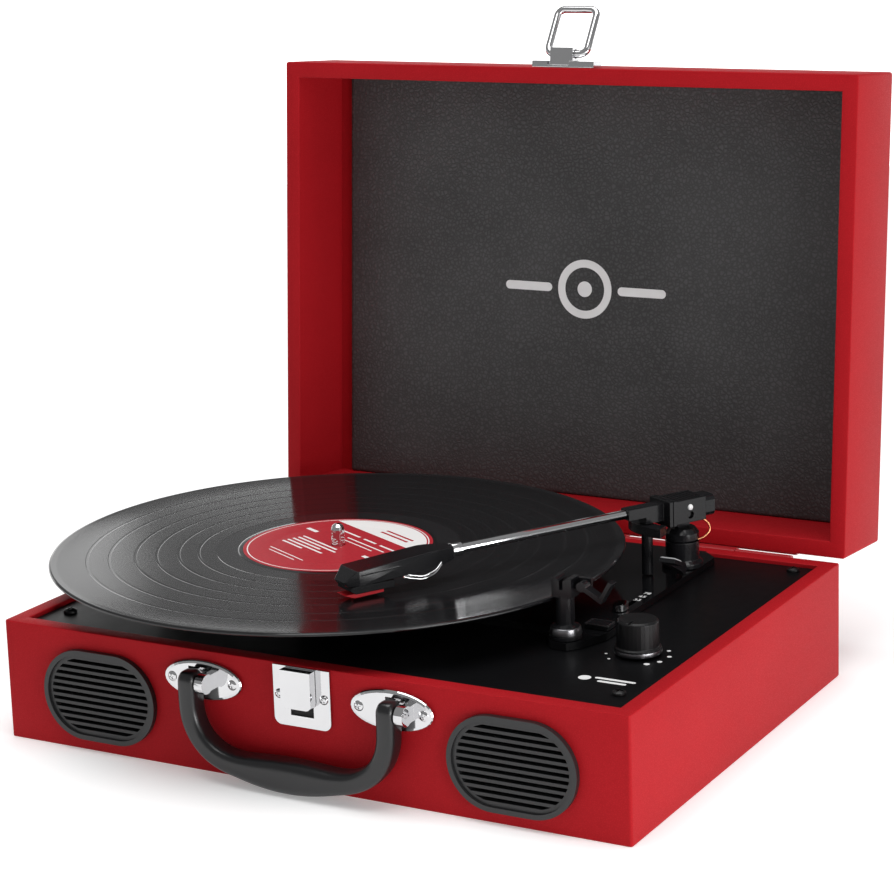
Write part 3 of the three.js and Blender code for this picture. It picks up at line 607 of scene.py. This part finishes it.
for side, name in ((-1, "left"), (1, "right")):
    for end in (-1, 1):
        place = "outer" if end == side else "inner"
        x = side * BRACKET_X + end * 17.6
        screw(f"bracket_screw_{name}_{place}", x, BRACKET_Z, FRONT - 1.9, 2.7, 0.3)
for side, name in ((-1, "left"), (1, "right")):
    screw(f"latch_screw_{name}", LATCH_X + side * 12.6, 47.6, FRONT - 1.5, 2.4, 0.8)

# Painted shadow: a black sheet behind the latch slot, dark where only the shade in the slot would be
place = facing_front(LATCH_X, FRONT, 40.2)
painted_slot_shadow = prism("latch_slot_painted_shadow", DARK, rect_ring(14, 7, 0.3, 1), 0.05, 0.25, place)
ride(painted_slot_shadow, "base", "black_plastic")


# ---------------------------------------------------------------- wires
def tube(name, material, points, radius, around, matrix, closed=False):
    """A round wire along points, in millimetres."""
    points = [Vector(p) for p in points]
    count = len(points)
    rings = []
    side = None
    for i, point in enumerate(points):
        ahead = points[(i + 1) % count] if closed else points[min(i + 1, count - 1)]
        behind = points[i - 1] if closed or i else points[0]
        along = (ahead - behind).normalized()
        if side is None:
            side = along.orthogonal()
        side = (side - along * side.dot(along)).normalized()
        other = along.cross(side)
        ring = []
        for k in range(around):
            a = 2 * math.pi * k / around
            ring.append(tuple(point + (side * math.cos(a) + other * math.sin(a)) * radius))
        rings.append(ring)
    vertices, faces = loft(rings, closed, not closed, not closed)
    return finish_mesh(name, vertices, faces, material, matrix, 60)


def arm_wire(name, material, points, radius, body, slot):
    """A thin wire along a smooth curve, in the tonearm's own directions."""
    ride(tube(name, material, smooth_stations(points, 8), radius, 10, ALONG_ARM), body, slot)


# ---------------------------------------------------------------- hasp loop
outline = rect_ring(24, HASP_LONG, 4.2, 10, HASP_X, HASP_Z - HASP_LONG / 2)
path = []
for i, (x, z) in enumerate(outline):
    path.append((x, HASP_Y, z))
    nx, nz = outline[(i + 1) % len(outline)]
    gap = math.hypot(nx - x, nz - z)
    path += [(x + (nx - x) * t / 5, HASP_Y, z + (nz - z) * t / 5) for t in range(1, 5) if gap > 3]
swing = OPENED @ about_x(HASP_Y, HASP_Z, -HASP_REST)
ride(tube("hasp_wire", CHROME, path, 2.1, 20, swing, True), "loop", "chrome_metal", "hasp_loop")

# ---------------------------------------------------------------- tonearm details
cap = [(0, 1.0), (0.8, 0.95), (1.4, 0.6), (1.6, 0), (0, 0)]
block_side = Matrix.Translation((0.5 * MM, 8 * MM, 98.4 * MM))
on_side = ALONG_ARM @ block_side @ Matrix.Rotation(-math.pi / 2, 4, "X")
ride(turned("arm_pivot_screw", INK, 0, 0, cap, 24, on_side), "arm", "chrome_metal")
lead = [(-8.5, 7, 90.6), (-11.2, 8.6, 87.5), (-11, 9.4, 84), (-8, 8.6, 81), (-5, 7.2, 79.6)]
arm_wire("arm_lead", COPPER, lead, 0.45, "arm_turret", "pulley_brass")
for i, (w, z) in enumerate(((8.0, 91.6), (8.6, 93.2))):
    ends = (154, 6.6, 95 + i), (176, 6.6, 92.6 + i)
    wire = [ends[0], (159, w, z), (166, w + 0.6, z - 1.2), (172, w - 0.4, z - 0.2), ends[1]]
    arm_wire(f"headshell_wire_{i + 1}", CHROME, wire, 0.5, "arm", "chrome_metal")
for side, name in ((-1, "left"), (1, "right")):
    rings = []
    for along in (158, 170, 182, 194, 201):
        across = side * (7.0 + 1.5 * (along - 156) / 46)
        section = rect_ring(0.5, 1.1, 0.2, 2, 0, 99.0 - 0.012 * (along - 156))
        rings.append([(along, across + dy, z) for dy, z in section])
    vertices, faces = loft(rings, cap_first=True, cap_last=True)
    rib = finish_mesh(f"headshell_rib_{name}", vertices, faces, PLASTIC, ALONG_ARM)
    ride(rib, "arm", "black_plastic")

# ---------------------------------------------------------------- rings, frame and pad on the controls
ring = [(10.5, 62.3), (11.55, 62.1), (11.8, 63.2), (11.3, 64.7), (10.6, 65.1), (10.5, 62.3)]
ride(turned("knob_skirt_ring", GUNMETAL, KNOB_X, KNOB_Y, ring, 72), "knob", "chrome_metal")
ring = [(6.8, 66.3), (7.8, 66.4), (8.1, 67.6), (7.5, 70.4), (6.8, 70.8), (6.8, 66.3)]
ride(turned("rest_foot_ring", GUNMETAL, REST_X, REST_Y, ring, 56), "base", "black_plastic")
outer = rect_ring(13.2, 9.2, 1.5, 5, STOP_X, STOP_Y)
inner = rect_ring(11.4, 7.4, 0.9, 5, STOP_X, STOP_Y)
stop_frame = frame_ring("stop_switch_frame", GUNMETAL, outer, inner, 66.9, 67.4)
ride(stop_frame, "stop_switch", "black_plastic")
rings = []
for inset, z in ((0, 0.9), (0, 1.5), (0.35, 1.8)):
    outline = rect_ring(8.8 - 2 * inset, 9.6 - 2 * inset, 1.4, 5, CUE_X + 4, CUE_Y - 24)
    rings.append([(x, y, CUE_Z + z) for x, y in outline])
vertices, faces = loft(rings, cap_first=True, cap_last=True)
pad = finish_mesh("cue_lever_pad", vertices, faces, LIGHT_PLASTIC, about_x(CUE_Y, CUE_Z, CUE_TURN))
ride(pad, "lever", "chrome_metal")


# ---------------------------------------------------------------- print on the deck
PRINT_LOW, PRINT_THICK = DECK_TOP + 0.01, 0.06


def deck_print(name, shape):
    ride(prism(name, INK, shape, PRINT_LOW, PRINT_LOW + PRINT_THICK), "base", "deck_gloss")


for i, (angle, r) in enumerate(((-50, 1.5), (-24, 1.3), (9, 1.15), (42, 1.0), (-130, 0.7), (-160, 0.7))):
    a = math.radians(angle)
    at = (KNOB_X + 15.5 * math.cos(a), KNOB_Y + 15.5 * math.sin(a))
    deck_print(f"volume_dot_{i + 1}", ellipse_ring(2 * r, 2 * r, 20, *at))
for i, y in enumerate((-84, -88)):
    deck_print(f"deck_emblem_bar_{i + 1}", rect_ring(21 - 6 * i, 2.2, 1.1, 4, 147, y))
deck_print("deck_emblem_dot", ellipse_ring(6.2, 6.2, 24, 132, -86))


def number_print(name, words, x, y, z, size):
    """Generic numbers printed on the plate, as a mesh."""
    curve = bpy.data.curves.new(name, "FONT")
    curve.body = words
    curve.size = size * MM
    curve.align_x = "CENTER"
    curve.align_y = "CENTER"
    curve.extrude = 0.03 * MM
    source = bpy.data.objects.new(name + "_source", curve)
    bpy.context.collection.objects.link(source)
    bpy.context.view_layer.update()
    graph = bpy.context.evaluated_depsgraph_get()
    mesh = bpy.data.meshes.new_from_object(source.evaluated_get(graph))
    bpy.data.objects.remove(source)
    made = bpy.data.objects.new(name, mesh)
    bpy.context.collection.objects.link(made)
    mesh.transform(Matrix.Translation((x * MM, y * MM, z * MM)))
    mesh.materials.clear()
    mesh.materials.append(INK)
    ride(made, "base", "deck_gloss")


for words, y in (("33", 22.5), ("45", 28.5), ("78", 34.5)):
    number_print(f"speed_mark_{words}", words, 108.5, y, PLATE_TOP + 0.04, 4.2)

# Generic ring, bars and dot on the lid's liner
liner_face = Matrix.Translation((-2 * MM, 0.5 * MM, 107.7 * MM))
emblem_place = OPENED @ liner_face @ Matrix.Rotation(math.pi, 4, "X")
EMBLEM_LOW, EMBLEM_HIGH = -0.2, 0.25
circles = ellipse_ring(34, 34, 64), ellipse_ring(25, 25, 64)
emblem = frame_ring("lid_emblem_ring", INK, *circles, EMBLEM_LOW, EMBLEM_HIGH, emblem_place)
ride(emblem, "lid", "liner_black")
shapes = {
    "lid_emblem_bar_left": rect_ring(30, 5, 2.5, 6, -36, 0),
    "lid_emblem_bar_right": rect_ring(30, 5, 2.5, 6, 36, 0),
    "lid_emblem_dot": ellipse_ring(9, 9, 32),
}
for name, shape in shapes.items():
    ride(prism(name, INK, shape, EMBLEM_LOW, EMBLEM_HIGH, emblem_place), "lid", "liner_black")


# ---------------------------------------------------------------- stage, light and camera
STAGE_HALF, STAGE_TURN = 6, 29


def stage_sheet(name, path, glow):
    """A smooth sheet swept sideways from (y, z) points in metres, turned square to the camera."""
    material = plain(name + "_white", (0.9, 0.9, 0.9), 0.8, vary=0.0, depth=0.0)
    shader = material.node_tree.nodes["Principled BSDF"]
    shader.inputs["Emission Color"].default_value = (1, 1, 1, 1)
    shader.inputs["Emission Strength"].default_value = glow
    mesh = bpy.data.meshes.new(name)
    turn = Matrix.Rotation(math.radians(STAGE_TURN), 4, "Z")
    points = [turn @ Vector((x, y, z)) for y, z in path for x in (-STAGE_HALF, STAGE_HALF)]
    faces = [(2 * i, 2 * i + 1, 2 * i + 3, 2 * i + 2) for i in range(len(path) - 1)]
    mesh.from_pydata(points, [], faces)
    sheet = bpy.data.objects.new(name, mesh)
    bpy.context.collection.objects.link(sheet)
    mesh.materials.append(material)
    shade(mesh, 60)


stage_sheet("floor", [(-6, 0), (2.4, 0)], 0.24)
stage_sheet("backdrop", [(2.0, 0.001), (2.3, 0.03), (2.5, 0.12), (2.6, 0.3), (2.62, 0.62)], 0.9)

# A dim white world that looks white where it is seen directly
WORLD_LIGHT, WORLD_SEEN = 0.3, 1.0
world = bpy.data.worlds.new("studio")
bpy.context.scene.world = world
world.use_nodes = True
sky = world.node_tree.nodes["Background"]
sky.inputs["Color"].default_value = (1, 1, 1, 1)
rays = world.node_tree.nodes.new("ShaderNodeLightPath")
strength = maths(
    world.node_tree, "MULTIPLY_ADD", rays.outputs["Is Camera Ray"], WORLD_SEEN - WORLD_LIGHT, WORLD_LIGHT
)
world.node_tree.links.new(strength, sky.inputs["Strength"])


def area_light(name, place, aim, size, power):
    """A rectangular lamp: place, aim and size in metres, power in watts."""
    data = bpy.data.lights.new(name, "AREA")
    data.shape = "RECTANGLE"
    data.size, data.size_y = size
    data.energy = power
    made = bpy.data.objects.new(name, data)
    made.location = place
    made.rotation_euler = (Vector(aim) - Vector(place)).to_track_quat("-Z", "Y").to_euler()
    bpy.context.collection.objects.link(made)


area_light("key_right", (0.95, -0.3, 0.1), (0.1, 0, 0.04), (0.7, 0.25), 5.6)
area_light("right_far", (2.4, -0.6, 1.3), (0, 0, 0.1), (1.2, 1.2), 4)
area_light("left_far", (-1.8, 1.8, 0.75), (-0.15, 0, 0.08), (0.4, 0.4), 0.6)
area_light("top", (0.1, -0.1, 3.0), (0, 0, 0), (2.6, 2.6), 84)

CAMERA_PLACE = (0.6498, -1.1193, 0.4584)
AZIMUTH, ELEVATION, ROLL = (math.radians(d) for d in (29.34, 12.47, -1.79))
level = math.cos(ELEVATION)
back = Vector((math.sin(AZIMUTH) * level, -math.cos(AZIMUTH) * level, math.sin(ELEVATION)))
right = Vector((math.cos(AZIMUTH), math.sin(AZIMUTH), 0))
up = back.cross(right)
camera_x = right * math.cos(ROLL) + up * math.sin(ROLL)
camera_y = up * math.cos(ROLL) - right * math.sin(ROLL)
camera_data = bpy.data.cameras.new("camera")
camera_data.lens = 104.14
camera_data.sensor_width = 36
camera_data.shift_x = -0.01267
camera_data.shift_y = -0.0561
camera_data.clip_end = 100
camera = bpy.data.objects.new("camera", camera_data)
rotation = Matrix((camera_x, camera_y, back)).transposed().to_4x4()
camera.matrix_world = Matrix.Translation(CAMERA_PLACE) @ rotation
bpy.context.collection.objects.link(camera)
bpy.context.scene.camera = camera
bpy.context.scene.view_settings.view_transform = "Standard"
